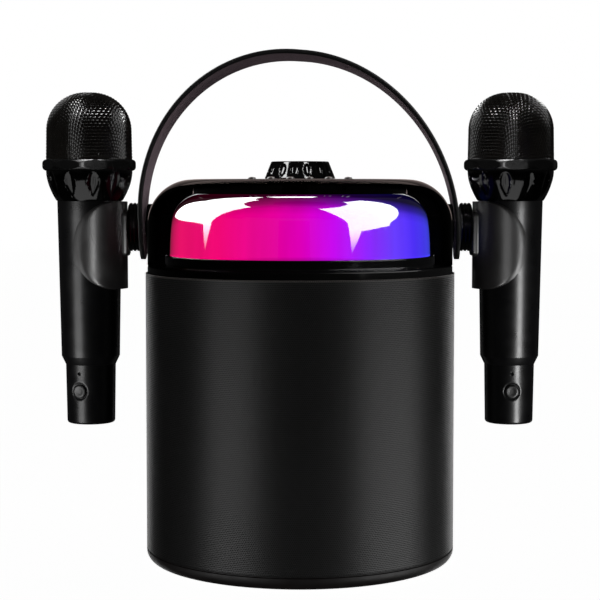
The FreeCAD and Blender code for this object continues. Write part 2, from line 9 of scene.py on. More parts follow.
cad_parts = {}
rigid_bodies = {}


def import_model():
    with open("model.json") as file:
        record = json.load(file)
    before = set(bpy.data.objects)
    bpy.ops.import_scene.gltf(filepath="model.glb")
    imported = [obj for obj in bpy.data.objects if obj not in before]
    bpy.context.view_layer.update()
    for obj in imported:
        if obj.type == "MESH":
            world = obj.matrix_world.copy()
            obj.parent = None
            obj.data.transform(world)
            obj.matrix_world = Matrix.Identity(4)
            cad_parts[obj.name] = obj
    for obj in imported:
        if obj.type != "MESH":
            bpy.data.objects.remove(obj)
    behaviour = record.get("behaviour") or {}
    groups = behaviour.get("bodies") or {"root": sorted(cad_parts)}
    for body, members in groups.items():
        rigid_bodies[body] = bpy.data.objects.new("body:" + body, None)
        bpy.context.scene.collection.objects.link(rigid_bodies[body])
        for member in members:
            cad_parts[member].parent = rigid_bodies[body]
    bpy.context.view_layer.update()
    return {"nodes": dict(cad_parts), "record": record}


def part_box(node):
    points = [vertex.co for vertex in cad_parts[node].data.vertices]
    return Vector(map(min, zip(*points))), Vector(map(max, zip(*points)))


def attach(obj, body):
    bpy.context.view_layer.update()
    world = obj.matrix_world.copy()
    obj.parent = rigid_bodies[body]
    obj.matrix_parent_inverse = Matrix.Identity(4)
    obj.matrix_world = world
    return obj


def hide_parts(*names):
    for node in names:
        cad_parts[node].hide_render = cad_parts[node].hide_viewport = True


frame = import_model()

# A portable karaoke speaker with a lit dome, a swinging strap and a microphone
# in a clip on each side. Shapes are worked out in millimetres from the boxes of
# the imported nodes, and every piece is made in the row's frame.

MM = 0.001
SIDES = {"left": -1, "right": 1}
KEYS = ["power", "mode", "previous", "play", "next", "light"]


def low(node):
    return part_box(node)[0] / MM


def high(node):
    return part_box(node)[1] / MM


def half_width(node):
    return (high(node).x - low(node).x) / 2


def middle(node):
    return (low(node) + high(node)) / 2


DRUM_RADIUS = high("grille").x
MESH_LOW = low("grille").z
MESH_HIGH = high("grille").z
DOME_RADIUS = high("lamp_cover").x
DOME_HIGH = high("lamp_cover").z
DOME_ROUND = 27.0
LAMP_RADIUS = high("lamp_diffuser").x
LAMP_LOW = low("lamp_diffuser").z
LAMP_HIGH = high("lamp_diffuser").z
LAMP_ROUND = 18.0
PIVOT_HEIGHT = middle("holder_hub_right").z
MIC_REACH = middle("mic_ring_right").x


# ------------------------------------------------------------------ shapes

def rounded(corners, pieces=6, closed=True):
    """Turns corners (across, up, radius) into points, with each corner that has
    a radius replaced by an arc of it."""
    points = []
    count = len(corners)
    for index, corner in enumerate(corners):
        here = Vector(corner[:2])
        radius = corner[2] if len(corner) > 2 else 0
        if radius == 0 or (not closed and index in (0, count - 1)):
            points.append(tuple(here))
            continue
        back = (Vector(corners[index - 1][:2]) - here).normalized()
        ahead = (Vector(corners[(index + 1) % count][:2]) - here).normalized()
        half = back.angle(ahead) / 2
        reach = radius / tan(half)
        centre = here + (back + ahead).normalized() * (radius / sin(half))
        first = here + back * reach - centre
        sweep = pi - 2 * half
        turn = 1 if back.x * ahead.y - back.y * ahead.x < 0 else -1
        steps = max(2, round(pieces * sweep / (pi / 2)))
        for step in range(steps + 1):
            angle = turn * sweep * step / steps
            spoke = Matrix.Rotation(angle, 2) @ first
            points.append(tuple(centre + spoke))
    return points


def spaced(points, spacing):
    """Adds points along a closed outline's straight stretches, so that none is
    over spacing."""
    result = []
    for index, point in enumerate(points):
        first = Vector(point)
        last = Vector(points[(index + 1) % len(points)])
        steps = max(1, ceil((last - first).length / spacing))
        result += [tuple(first.lerp(last, step / steps)) for step in range(steps)]
    return result


def skin(loops, count, closed=False):
    """Faces between loops of count points each, one loop after another."""
    faces = []
    for row in range(loops if closed else loops - 1):
        here = row * count
        beyond = (row + 1) % loops * count
        for step in range(count):
            after = (step + 1) % count
            faces.append((here + step, here + after, beyond + after, beyond + step))
    return faces


def capped_skin(loops, count):
    """The same with the first and the last loop filled in."""
    last = (loops - 1) * count
    return skin(loops, count) + [tuple(range(count))[::-1], tuple(range(last, last + count))]


def inside_out(faces):
    return [face[::-1] for face in faces]


def placed(name, data):
    """A new object of the scene."""
    thing = bpy.data.objects.new(name, data)
    bpy.context.scene.collection.objects.link(thing)
    return thing


def piece(name, vertices, faces, look, body, stands_for=(), crease=35):
    """A mesh object made from millimetres, riding on a body, with its look as its material."""
    mesh = bpy.data.meshes.new(name)
    mesh.from_pydata([Vector(vertex) * MM for vertex in vertices], [], faces)
    mesh.validate()
    thing = placed(name, mesh)
    mesh.materials.append(LOOKS[look])
    for face in mesh.polygons:
        face.use_smooth = True
    mesh.set_sharp_from_angle(angle=radians(crease))
    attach(thing, body)
    if stands_for:
        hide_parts(*stands_for)
    return thing


def lathe(name, profile, look, body, place=Matrix(), steps=128, shape=None, stands_for=(), crease=35):
    """A piece from a closed profile of (radius, height) turned about Z. The
    shape, if given, changes the radius at (radius, height, angle)."""
    vertices = []
    rings = []
    for radius, height in profile:
        if radius < 1e-6:
            rings.append([len(vertices)])
            vertices.append((0, 0, height))
            continue
        ring = []
        for step in range(steps):
            angle = 2 * pi * step / steps
            reach = shape(radius, height, angle) if shape else radius
            ring.append(len(vertices))
            vertices.append((reach * cos(angle), reach * sin(angle), height))
        rings.append(ring)
    faces = []
    for index, first in enumerate(rings):
        last = rings[(index + 1) % len(rings)]
        if len(first) == 1 and len(last) == 1:
            continue
        for step in range(steps):
            after = (step + 1) % steps
            face = [first[step % len(first)], first[after % len(first)],
                    last[after % len(last)], last[step % len(last)]]
            faces.append(tuple(dict.fromkeys(face)))
    return piece(name, moved(vertices, place), faces, look, body, stands_for, crease)


def off_centre(angle, first, count):
    """How far an angle is from the nearest of count places spread evenly from
    the first, from -0.5 to 0.5 of the way between two."""
    return ((angle - first) * count / (2 * pi) + 0.5) % 1 - 0.5


def moved(vertices, matrix):
    return [matrix @ Vector(vertex) for vertex in vertices]


def block_mesh(size, radius, pieces):
    """A box of (length, width, height) about its middle, with rounded upright
    edges and a softened top and bottom."""
    half = [side / 2 for side in size]
    outline = rounded([(-half[0], -half[1], radius), (half[0], -half[1], radius),
                       (half[0], half[1], radius), (-half[0], half[1], radius)], pieces)
    soft = min(radius * 0.5, half[2] * 0.6)
    levels = [(-half[2], soft), (-half[2] + soft * 0.3, soft * 0.3), (-half[2] + soft, 0),
              (half[2] - soft, 0), (half[2] - soft * 0.3, soft * 0.3), (half[2], soft)]
    vertices = []
    for height, inset in levels:
        for across, up in outline:
            vertices.append((across * (1 - inset / half[0]), up * (1 - inset / half[1]), height))
    return vertices, capped_skin(len(levels), len(outline))


# --------------------------------------------------------------- materials

def grey(level):
    return (level, level, level)


class Look:
    """A material with a principled shader, and short calls for its nodes."""

    def __init__(self, name, **sockets):
        self.material = bpy.data.materials.new(name)
        self.material.use_nodes = True
        self.tree = self.material.node_tree
        self.shader = self.tree.nodes["Principled BSDF"]
        for socket, value in sockets.items():
            self.set(socket.replace("_", " "), value)
        self.place = self.node("ShaderNodeTexCoord").outputs["Object"]

    def set(self, socket, value):
        target = self.shader.inputs[socket]
        if isinstance(value, bpy.types.NodeSocket):
            self.tree.links.new(value, target)
        elif isinstance(value, (tuple, list)):
            target.default_value = (*value, 1) if len(value) == 3 else value
        else:
            target.default_value = value

    def surface(self, colour, roughness, normal):
        self.set("Base Color", colour)
        self.set("Roughness", roughness)
        self.set("Normal", normal)

    def show(self, shader):
        """Makes this shader node the material's own."""
        output = self.tree.nodes["Material Output"]
        self.tree.links.new(shader.outputs[0], output.inputs["Surface"])

    def node(self, kind, inputs=(), **settings):
        made = self.tree.nodes.new(kind)
        for name, value in settings.items():
            setattr(made, name, value)
        for key, value in dict(inputs).items():
            if isinstance(value, bpy.types.NodeSocket):
                self.tree.links.new(value, made.inputs[key])
            else:
                made.inputs[key].default_value = value
        return made

    def math(self, operation, first, second=0.0, third=0.0):
        inputs = {0: first, 1: second, 2: third}
        return self.node("ShaderNodeMath", inputs, operation=operation).outputs[0]

    def times(self, first, second):
        return self.math("MULTIPLY", first, second)

    def mix(self, share, first, second):
        """A colour from first to second, each three numbers or a socket."""
        ends = [end if isinstance(end, bpy.types.NodeSocket) else (*end, 1) for end in (first, second)]
        made = self.node("ShaderNodeMix", {0: share, 6: ends[0], 7: ends[1]}, data_type="RGBA")
        return made.outputs[2]

    def stretched(self, x, y, z):
        return self.node("ShaderNodeMapping", {"Vector": self.place, "Scale": (x, y, z)}).outputs[0]

    def noise(self, scale, detail=4.0, roughness=0.5, place=None):
        inputs = {"Vector": place or self.place, "Scale": scale, "Detail": detail,
                  "Roughness": roughness}
        return self.node("ShaderNodeTexNoise", inputs).outputs[0]

    def ramp(self, factor, *stops):
        made = self.node("ShaderNodeValToRGB", {"Fac": factor})
        entries = made.color_ramp.elements
        while len(entries) < len(stops):
            entries.new(0.5)
        for entry, (position, colour) in zip(entries, stops):
            entry.position = position
            grey = isinstance(colour, (int, float))
            entry.color = (colour, colour, colour, 1) if grey else (*colour, 1)
        return made.outputs[0]

    def bump(self, height, depth, normal=None):
        inputs = {"Height": height, "Distance": depth, "Strength": 1.0}
        if normal:
            inputs["Normal"] = normal
        return self.node("ShaderNodeBump", inputs).outputs[0]

    def around(self):
        """(angle about Z in turns with 0 at the front, radius, height)."""
        parts = self.node("ShaderNodeSeparateXYZ", {"Vector": self.place}).outputs
        back = self.times(parts["Y"], -1.0)
        turn = self.math("DIVIDE", self.math("ARCTAN2", parts["X"], back), 2 * pi)
        square = self.math("MULTIPLY_ADD", parts["X"], parts["X"],
                           self.times(parts["Y"], parts["Y"]))
        return turn, self.math("SQRT", square), parts["Z"]


def gloss_plastic(name, colour, worn, roughness=0.08, scratches=0.25, specular=0.5):
    """Polished plastic with faint smears, hairline scratches and dust."""
    look = Look(name, IOR=1.46, Specular_IOR_Level=specular)
    smears = look.noise(38.0, 5.0, 0.6)
    hair = look.noise(900.0, 2.0, 0.4, look.stretched(1.0, 1.0, 0.06))
    dust = look.ramp(look.noise(1400.0, 1.0), (0.74, 0.0), (0.9, 1.0))
    rough = look.ramp(smears, (0.35, roughness), (0.62, roughness * 1.5), (0.8, roughness * 2.4))
    waves = look.bump(look.noise(70.0, 2.0), 0.00002)
    look.surface(look.mix(dust, colour, worn), rough, look.bump(hair, 0.000016 * scratches, waves))
    return look.material


def satin_plastic(name, colour, worn, roughness=0.4, grain=2600.0, depth=0.00001, specular=0.5):
    """Moulded plastic with a fine spark-eroded grain and handling marks."""
    look = Look(name, IOR=1.46, Specular_IOR_Level=specular)
    wear = look.ramp(look.noise(55.0, 6.0, 0.65), (0.42, 0.0), (0.72, 1.0))
    rough = look.ramp(look.noise(120.0, 4.0), (0.3, roughness * 0.88), (0.7, roughness * 1.12))
    look.surface(look.mix(wear, colour, worn), rough, look.bump(look.noise(grain, 2.0, 0.6), depth))
    return look.material


def metal(name, colour, roughness=0.3, grain=600.0):
    look = Look(name, Metallic=1.0)
    streaks = look.noise(grain, 3.0, 0.6, look.stretched(1.0, 1.0, 0.12))
    darker = tuple(part * 0.7 for part in colour)
    rough = look.ramp(streaks, (0.3, roughness * 0.8), (0.7, roughness * 1.3))
    look.surface(look.mix(streaks, darker, colour), rough, look.bump(streaks, 0.00002))
    return look.material


MESH_PITCH = 1.05       # height of one row of the drum's mesh
HOLE_PITCH = 1.05       # distance between two holes of a row


def drum_mesh_look():
    """Black coated steel with staggered rows of small holes, and a painted highlight along its top rim."""
    look = Look("drum_mesh", Metallic=0.0, IOR=1.5)
    turn, _, height = look.around()
    across = look.times(turn, round(2 * pi * DRUM_RADIUS / HOLE_PITCH))
    up = look.math("DIVIDE", height, MESH_PITCH * MM)
    odd = look.times(look.math("MODULO", look.math("FLOOR", up), 2.0), 0.5)
    side = look.math("SUBTRACT", look.math("FRACT", look.math("ADD", across, odd)), 0.5)
    rise = look.math("SUBTRACT", look.math("FRACT", up), 0.5)
    wide = look.math("POWER", look.times(side, 2.0), 2.0)
    tall = look.math("POWER", look.times(rise, 2.0), 2.0)
    metal_part = look.ramp(look.math("SQRT", look.math("ADD", wide, tall)), (0.52, 0.0), (0.72, 1.0))
    coat = look.ramp(look.noise(24.0, 4.0, 0.6), (0.35, 0.005), (0.7, 0.008))
    # painted highlight: the metal between the holes in the top 0.9 mm is coloured light grey, standing for
    # the rim catching the light
    rim = look.math("GREATER_THAN", height, (MESH_HIGH - 0.9) * MM)
    black = look.mix(metal_part, grey(0.001), coat)
    black_with_rim_glint = look.mix(look.times(rim, metal_part), black, (0.10, 0.09, 0.085))
    grain = look.bump(look.noise(2600.0, 2.0), 0.000006)
    look.surface(black_with_rim_glint, look.ramp(metal_part, (0.0, 0.95), (1.0, 0.38)),
                 look.bump(metal_part, 0.00012, grain))
    return look.material


# round the lamp, from the back over the left side, the front (0.5) and the right
LAMP_COLOURS = [
    (0.00, (0.02, 0.62, 0.42)), (0.12, (0.60, 0.45, 0.02)),
    (0.22, (0.70, 0.004, 0.09)), (0.275, (0.40, 0.0, 0.065)),
    (0.32, (0.86, 0.002, 0.14)), (0.40, (0.87, 0.0, 0.17)),
    (0.47, (0.78, 0.0, 0.32)), (0.50, (0.72, 0.0, 0.46)),
    (0.52, (0.65, 0.0, 0.68)), (0.54, (0.58, 0.001, 0.90)),
    (0.58, (0.28, 0.018, 1.0)), (0.62, (0.14, 0.045, 0.97)),
    (0.66, (0.075, 0.028, 0.97)), (0.80, (0.02, 0.10, 0.95)),
    (0.92, (0.01, 0.36, 0.80)), (1.00, (0.02, 0.62, 0.42)),
]


def lamp_look():
    """A glossy opal shell lit from inside, its colour running round it, with painted shade: the glow is
    dimmed towards the top and the bottom edge, and more so towards the sides and the back.
    """
    look = Look("lamp_glow", Roughness=0.06, IOR=1.5, Coat_Weight=1.0, Coat_IOR=2.2,
                Coat_Roughness=0.02)
    turn, _, height = look.around()
    share = look.math("ADD", turn, 0.5)
    wander = look.math("MULTIPLY_ADD", look.noise(9.0, 2.0), 0.03, look.math("SUBTRACT", share, 0.015))
    colour = look.ramp(wander, *LAMP_COLOURS)
    level = look.math("DIVIDE", look.math("SUBTRACT", height, LAMP_LOW * MM),
                      (LAMP_HIGH - LAMP_LOW) * MM)
    # painted shade: the glow is darker towards the top and the bottom edge, and darker still round the sides
    # and at the back, away from the front; the streaks are the lamp's own
    side_shade = look.times(look.times(turn, turn), 5.0)
    fade = look.ramp(look.math("ADD", level, side_shade), (0.0, 0.55), (0.06, 1.0), (0.70, 1.0), (0.80, 0.78),
                     (0.87, 0.36), (0.93, 0.22), (1.0, 0.03))
    streaks = look.noise(60.0, 3.0, 0.6, look.stretched(1.0, 1.0, 0.05))
    shade_and_streaks = look.times(fade, look.ramp(streaks, (0.3, 0.91), (0.7, 1.08)))
    shaded = look.node("ShaderNodeVectorMath", {0: colour, "Scale": shade_and_streaks}, operation="SCALE").outputs[0]
    look.set("Base Color", (0.002, 0.0, 0.001))
    look.set("Emission Color", shaded)
    look.set("Coat Weight", look.ramp(level, (0.0, 0.0), (0.04, 1.0), (0.965, 1.0), (0.985, 0.0)))
    look.set("Specular IOR Level", look.ramp(level, (0.0, 0.0), (0.04, 0.5), (0.965, 0.5), (0.985, 0.0)))
    direct = look.node("ShaderNodeLightPath").outputs["Is Camera Ray"]
    look.set("Emission Strength", look.math("MULTIPLY_ADD", direct, 1.19, 0.13))
    return look.material


def cover_look():
    """Clear smoked plastic: nearly all of what is behind, and a faint gloss."""
    look = Look("smoked_cover")
    edge_on = look.node("ShaderNodeLayerWeight", {"Blend": 0.5}).outputs["Facing"]
    tint = look.ramp(edge_on, (0.62, (0.93, 0.93, 0.94)), (0.76, (0.0, 0.0, 0.0)))
    clear = look.node("ShaderNodeBsdfTransparent", {"Color": tint})
    gloss = look.node("ShaderNodeBsdfGlossy", {
        "Color": (0.9, 0.9, 0.9, 1),
        "Roughness": look.ramp(look.noise(45.0, 4.0), (0.3, 0.02), (0.75, 0.07)),
        "Normal": look.bump(look.noise(60.0, 2.0), 0.000003)})
    edge = look.node("ShaderNodeFresnel", {"IOR": 1.025})
    inside = look.node("ShaderNodeNewGeometry").outputs["Backfacing"]
    share = look.times(edge.outputs[0], look.math("SUBTRACT", 1.0, inside))
    mixed = look.node("ShaderNodeMixShader", {0: share, 1: clear.outputs[0], 2: gloss.outputs[0]})
    look.show(mixed)
    look.tree.nodes.remove(look.shader)
    return look.material


def leather_look(name, colour, lifted, grain, depth, roughness):
    """Coated strap leather: pebbled cells with creases between them."""
    look = Look(name, IOR=1.45, Specular_IOR_Level=0.07)
    cells = look.node("ShaderNodeTexVoronoi", {"Vector": look.place, "Scale": grain, "Randomness": 0.9},
                      feature="DISTANCE_TO_EDGE").outputs["Distance"]
    raised = look.ramp(cells, (0.0, 0.0), (0.25, 1.0))
    broad = look.noise(90.0, 5.0, 0.6)
    tone = look.times(raised, look.ramp(broad, (0.3, 0.7), (0.7, 1.0)))
    rough = look.ramp(broad, (0.3, roughness * 0.9), (0.7, roughness * 1.1))
    fine = look.bump(look.noise(3000.0, 2.0), depth * 0.3)
    look.surface(look.mix(tone, colour, lifted), rough, look.bump(raised, depth, fine))
    return look.material


def foam_look():
    look = Look("mic_foam", Roughness=0.95)
    cells = look.node("ShaderNodeTexVoronoi", {"Vector": look.place, "Scale": 1500.0}).outputs["Distance"]
    look.set("Base Color", look.ramp(cells, (0.1, 0.001), (0.6, 0.006)))
    look.set("Normal", look.bump(cells, 0.0002))
    return look.material


def board_look():
    look = Look("circuit_board", Roughness=0.4)
    tracks = look.node("ShaderNodeTexVoronoi", {"Vector": look.place, "Scale": 260.0},
                       distance="CHEBYCHEV").outputs["Distance"]
    look.set("Base Color", look.ramp(tracks, (0.2, (0.05, 0.22, 0.1)), (0.25, (0.01, 0.1, 0.04))))
    look.set("Normal", look.bump(tracks, 0.00005))
    return look.material


def glow_look(name, colour, strength):
    look = Look(name, Roughness=0.3)
    look.set("Base Color", look.ramp(look.noise(300.0), (0.3, tuple(part * 0.8 for part in colour)),
                                     (0.7, colour)))
    look.set("Emission Color", colour)
    look.set("Emission Strength", strength)
    return look.material


BLACK = grey(0.002)
DUSTY = grey(0.012)
GLOSS = {               # colour, worn colour, roughness, scratches, specular
    "gloss_black": (BLACK, DUSTY),
    "panel_black": ((0.004, 0.003, 0.003), DUSTY, 0.12),
    "knob_black": (BLACK, DUSTY, 0.06),
    "deck_black": (BLACK, BLACK, 0.1, 0.0, 0.12),
    "ring_black": (BLACK, BLACK, 0.16, 0.0, 0.6),
    "cell_wrap": ((0.02, 0.09, 0.3), (0.05, 0.15, 0.4), 0.2),
}
SATIN = {               # colour, worn colour, roughness, grain, depth, specular
    "base_plastic": ((0.006, 0.004, 0.004), (0.009, 0.007, 0.006), 0.5),
    "cabinet_plastic": (grey(0.004), grey(0.006), 0.6, 2600.0, 0.00001, 0.2),
    "clip_black": ((0.004, 0.0037, 0.0037), (0.006, 0.0057, 0.0057), 0.33),
    "mic_black": ((0.002, 0.002, 0.0022), (0.003, 0.003, 0.0033), 0.30, 2600.0, 0.000006),
    "key_black": (grey(0.005), grey(0.01), 0.3),
    "button_black": (grey(0.004), grey(0.008), 0.4),
    "foot_rubber": (grey(0.012), grey(0.03), 0.85, 1400.0, 0.00005),
    "surround_rubber": (grey(0.01), grey(0.02), 0.7),
    "cone_paper": ((0.02, 0.02, 0.022), grey(0.04), 0.8, 1200.0, 0.00008),
    "socket_plastic": (grey(0.01), grey(0.02), 0.5),
    "mic_wire": ((0.004, 0.0035, 0.003), (0.008, 0.007, 0.006), 0.2, 1200.0, 0.00001, 1.0),
}
METALS = {              # colour, roughness
    "screw_steel": ((0.45, 0.45, 0.47),),
    "socket_steel": ((0.6, 0.6, 0.62), 0.25),
    "basket_steel": (grey(0.05), 0.5),
    "magnet_steel": ((0.12, 0.12, 0.125), 0.5),
    "capsule_metal": (grey(0.5), 0.35),
}
LOOKS = {
    "mesh_steel": drum_mesh_look(),
    "lamp_glow": lamp_look(),
    "smoked_clear": cover_look(),
    "strap_leather": leather_look("strap_leather", BLACK, grey(0.004), 900.0, 0.00003, 0.42),
    "strap_lining": leather_look("strap_lining", (0.04, 0.029, 0.033), (0.10, 0.075, 0.085), 1500.0,
                                 0.00003, 0.7),
    "mic_foam": foam_look(),
    "circuit_board": board_look(),
    "led_lens": glow_look("led_lens", (0.9, 0.85, 0.7), 1.0),
    "status_light": glow_look("status_light", (0.02, 0.022, 0.024), 0.2),
}
for make_look, table in ((gloss_plastic, GLOSS), (satin_plastic, SATIN), (metal, METALS)):
    LOOKS |= {name: make_look(name, *values) for name, values in table.items()}

for entry in frame["record"]["subparts"]:
    shown = frame["nodes"][entry["node"]]
    shown.data.materials.clear()
    shown.data.materials.append(LOOKS[entry["material_slot"]])


# -------------------------------------------------------------------- drum

MESH_COLUMNS = 128
MESH_DEPTH = 0.42       # how far the valleys between two rows lie back
WINDOW_COLUMNS = 6      # half of the port window's width, in columns


def make_drum_mesh():
    """The mesh round the drum, ridged row by row, with a window at the back."""
    rows = round((MESH_HIGH - MESH_LOW) / MESH_PITCH) * 2
    window_low = low("port_panel").z
    window_high = high("port_panel").z
    heights = [MESH_LOW + (MESH_HIGH - MESH_LOW) * row / rows for row in range(rows + 1)]
    open_rows = {row for row in range(rows)
                 if window_low - 0.3 < (heights[row] + heights[row + 1]) / 2 < window_high + 0.3}
    back = MESH_COLUMNS // 4

    def is_open(row, column):
        return row in open_rows and -WINDOW_COLUMNS <= column - back < WINDOW_COLUMNS

    vertices = []
    for inner in (0, 1):
        for row, height in enumerate(heights):
            radius = DRUM_RADIUS - (MESH_DEPTH if row % 2 else 0) - inner * 0.7
            for column in range(MESH_COLUMNS):
                angle = 2 * pi * column / MESH_COLUMNS
                vertices.append((radius * cos(angle), radius * sin(angle), height))
    layer = len(heights) * MESH_COLUMNS

    def at(inner, row, column):
        return inner * layer + row * MESH_COLUMNS + column % MESH_COLUMNS

    faces = []
    for row in range(rows):
        for column in range(MESH_COLUMNS):
            if is_open(row, column):
                continue
            quad = [(row, column), (row, column + 1), (row + 1, column + 1), (row + 1, column)]
            faces.append(tuple(at(0, *corner) for corner in quad))
            faces.append(tuple(at(1, *corner) for corner in reversed(quad)))
            neighbours = [((row - 1, column), 0), ((row, column + 1), 1),
                          ((row + 1, column), 2), ((row, column - 1), 3)]
            for (other_row, other_column), edge in neighbours:
                if 0 <= other_row < rows and not is_open(other_row, other_column % MESH_COLUMNS):
                    continue
                first = quad[edge]
                last = quad[(edge + 1) % 4]
                faces.append((at(0, *last), at(0, *first), at(1, *first), at(1, *last)))
    piece("drum_mesh", vertices, faces, "mesh_steel", "speaker", ["grille"], 80)


BEZEL_WIDE = 28.0       # half of the frame's width
BEZEL_TALL = 11.5       # about half of its height
BEZEL_SECTION = [(0.0, -0.6), (0.0, 0.25), (0.35, 0.6), (1.1, 0.6), (1.5, 0.25), (1.5, -0.6)]


def make_port_bezel():
    """A thin frame round the port panel, bent to the drum."""
    bottom = low("port_panel").z - 1.2
    top = high("port_panel").z + 1.2
    path = spaced(rounded([(-BEZEL_WIDE, bottom, 2.4), (BEZEL_WIDE, bottom, 2.4),
                           (BEZEL_WIDE, top, 2.4), (-BEZEL_WIDE, top, 2.4)]), 3.0)
    centre = Vector((0, (bottom + top) / 2))
    vertices = []
    for across, up in path:
        for inset, proud in BEZEL_SECTION:
            shrink = Vector((1 - inset / BEZEL_WIDE, 1 - inset / BEZEL_TALL))
            point = centre + (Vector((across, up)) - centre) * shrink
            angle = pi / 2 - point.x / DRUM_RADIUS
            radius = DRUM_RADIUS - 0.5 + proud
            vertices.append((radius * cos(angle), radius * sin(angle), point.y))
    faces = inside_out(skin(len(path), len(BEZEL_SECTION), True))
    piece("port_bezel", vertices, faces, "gloss_black", "speaker")


def make_base():
    """The base, with a fine bead where it meets the mesh."""
    bottom = low("base_tray").z
    top = high("base_tray").z
    profile = rounded([
        (0, bottom), (DRUM_RADIUS, bottom, 6.5), (DRUM_RADIUS, top - 0.9, 0.2),
        (DRUM_RADIUS - 0.5, top - 0.5, 0.2), (DRUM_RADIUS - 0.5, top, 0.2), (DRUM_RADIUS - 3.5, top, 0.3),
        (DRUM_RADIUS - 3.5, bottom + 2.5, 0.5), (0, bottom + 2.5)], 12)
    lathe("base_shell", profile, "base_plastic", "speaker", steps=192,
          stands_for=["base_tray"])


# ---------------------------------------------------------- lamp and dome

def make_lamp():
    """The lit shell: a wall that leans in a little more the higher it gets,
    and a tighter round over to its flat top."""
    lean = radians(7)
    crown_height = LAMP_HIGH - LAMP_ROUND
    wall_radius = (crown_height + LAMP_ROUND * sin(lean) - LAMP_LOW) / sin(lean)
    crown_reach = LAMP_RADIUS - wall_radius * (1 - cos(lean)) - LAMP_ROUND * cos(lean)
    outer = []
    for step in range(8):
        angle = lean * step / 8
        outer.append((LAMP_RADIUS - wall_radius * (1 - cos(angle)), LAMP_LOW + wall_radius * sin(angle)))
    for step in range(25):
        angle = lean + (pi / 2 - lean) * step / 24
        outer.append((crown_reach + LAMP_ROUND * cos(angle), crown_height + LAMP_ROUND * sin(angle)))
    wall = 2.0
    hole = 40.4
    outer.append((hole, LAMP_HIGH))
    inner = [(hole, LAMP_HIGH - wall), (crown_reach, LAMP_HIGH - wall),
             (crown_reach + LAMP_ROUND - wall, crown_height), (LAMP_RADIUS - wall, LAMP_LOW)]
    lathe("lamp_shell", outer + inner, "lamp_glow", "speaker", steps=192,
          stands_for=["lamp_diffuser"])


BOSS_RADIUS = 13.8


def make_cover():
    """The dome: a clear wall whose rim turns in at the top."""
    bottom = low("lamp_cover").z
    wall = 2.2
    rim = DOME_RADIUS - DOME_ROUND
    outer = rounded([(DOME_RADIUS, bottom), (DOME_RADIUS, DOME_HIGH, DOME_ROUND), (rim - 0.01, DOME_HIGH)],
                    24, False)
    inner = rounded([(rim - 0.01, DOME_HIGH - wall),
                     (DOME_RADIUS - wall, DOME_HIGH - wall, DOME_ROUND - wall),
                     (DOME_RADIUS - wall, bottom)], 24, False)
    lathe("dome_cover", outer + inner, "smoked_clear", "speaker", steps=192,
          stands_for=["lamp_cover"])


def make_boss(name, side):
    """The flat round boss that the dome thickens into at one pivot."""
    face = DOME_RADIUS + 0.03
    rim = DOME_RADIUS - DOME_ROUND
    steps = 96
    reaches = [4.4, 7.0, 9.5, 11.5, BOSS_RADIUS - 0.6, BOSS_RADIUS - 0.2, BOSS_RADIUS]
    loops = list(zip(reaches, (0, 0, 0, 0, 0, 0.2, 0.6)))
    loops += [(reach, None) for reach in reversed(reaches)]
    vertices = []
    for reach, worn in loops:
        for step in range(steps):
            angle = 2 * pi * step / steps
            across = reach * cos(angle)
            up = PIVOT_HEIGHT + reach * sin(angle)
            level = max(up - (DOME_HIGH - DOME_ROUND), 0)
            wall = rim + sqrt(DOME_ROUND ** 2 - level ** 2)
            under = min(sqrt(wall ** 2 - across ** 2) + 0.01, face - 0.01)
            out = under if worn is None else max(face - worn, under + 0.005)
            vertices.append((side * out, across, up))
    faces = skin(len(loops), steps, True)
    piece(f"cover_boss_{name}", vertices, inside_out(faces) if side > 0 else faces, "gloss_black", "speaker",
          crease=40)


DECK_DROP = 50.8        # from the dome's top down to the deck


def make_deck():
    """The gloss ring below the dome, with a step that catches the light."""
    bottom = low("light_deck").z
    top = DOME_HIGH - DECK_DROP
    profile = rounded([
        (DOME_RADIUS, bottom), (DOME_RADIUS, top - 0.9, 0.7), (DOME_RADIUS - 0.8, top - 0.2, 0.3),
        (DOME_RADIUS - 2.6, top, 0.4), (LAMP_RADIUS + 2.7, top, 1.0), (LAMP_RADIUS + 2.7, LAMP_LOW, 0.8),
        (0, LAMP_LOW), (0, LAMP_LOW - 2.5), (LAMP_RADIUS + 0.2, LAMP_LOW - 2.5),
        (LAMP_RADIUS + 0.2, top - 2.5), (88.7, top - 2.5), (88.7, bottom)], 8)
    lathe("deck_ring", profile, "deck_black", "speaker", steps=192, stands_for=["light_deck"])


def make_panel_rim():
    """A polished rim round the top plate, with a skirt down to the lamp."""
    radius = high("control_panel").x
    profile = rounded([(radius - 1.6, DOME_HIGH - 0.3), (radius - 1.6, DOME_HIGH + 0.08, 0.1),
                       (radius - 0.02, DOME_HIGH + 0.08, 0.1), (radius - 0.02, LAMP_HIGH + 0.2),
                       (radius - 1.4, LAMP_HIGH + 0.2), (radius - 1.4, DOME_HIGH - 4.0)], 4)
    lathe("panel_rim", profile, "gloss_black", "speaker", steps=192)


FLUTES = 16
FLUTE_TURN = radians(-77.1)


